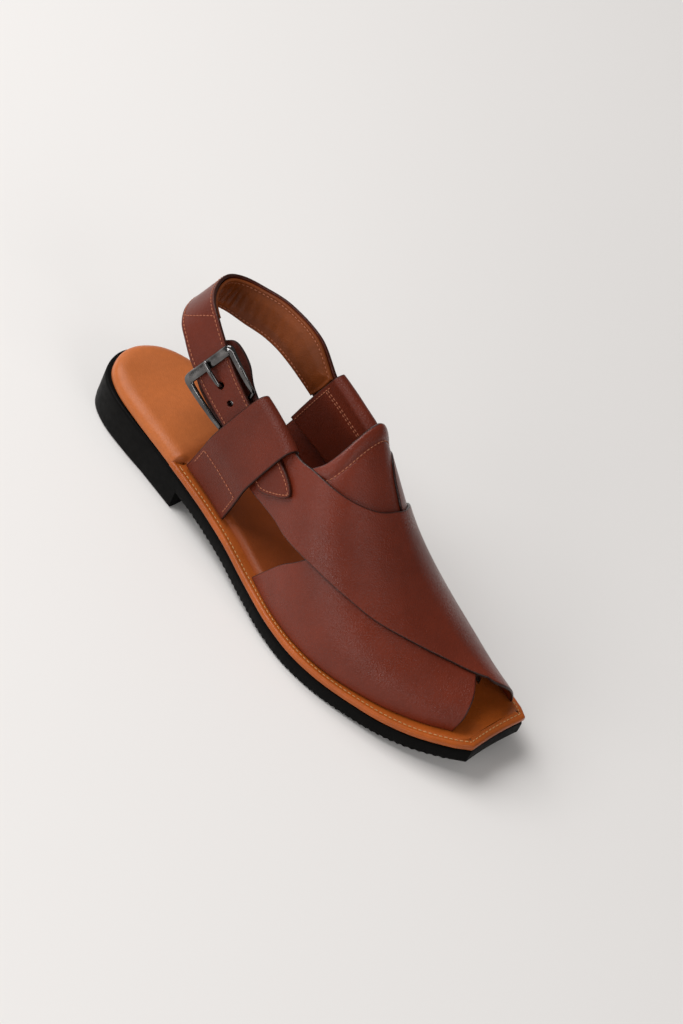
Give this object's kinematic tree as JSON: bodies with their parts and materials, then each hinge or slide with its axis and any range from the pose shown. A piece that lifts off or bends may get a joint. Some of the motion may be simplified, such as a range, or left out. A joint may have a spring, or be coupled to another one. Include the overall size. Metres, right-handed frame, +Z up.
{
  "type": "peshawari chappal",
  "caption": "Right leather sandal with crossed vamp straps, tongue, side loops and a buckled heel strap on a stitched welt and black moulded rubber sole.",
  "frame": {"origin": "centre of the bounding box's bottom face, on the floor under the middle of the shoe", "axes": "+X to the toe, +Y to the medial (inner) side, +Z up"},
  "size_m": [0.2937, 0.0973, 0.1123],
  "materials": {
    "black_rubber": "moulded, satin",
    "tan_welt": "glossed edge",
    "tan_insole": "smooth, satin",
    "red_brown_leather": "smooth grain, satin",
    "lateral_loop_leather": "smooth grain, satin",
    "medial_loop_leather": "smooth grain, satin",
    "strap_leather": "smooth grain, satin",
    "tan_lining": "smooth, padded",
    "tab_leather": "flesh side",
    "gunmetal": "polished dark",
    "gunmetal_prong": "polished dark"
  },
  "bodies": {
    "root": {"outsole": "black_rubber", "welt": "tan_welt", "insole": "tan_insole", "upper": "red_brown_leather", "lateral_loop": "lateral_loop_leather", "medial_loop": "medial_loop_leather", "heel_strap": "strap_leather", "strap_lining": "tan_lining", "buckle_tab": "tab_leather", "buckle_frame": "gunmetal", "buckle_prong": "gunmetal_prong"}
  },
  "joints": []
}
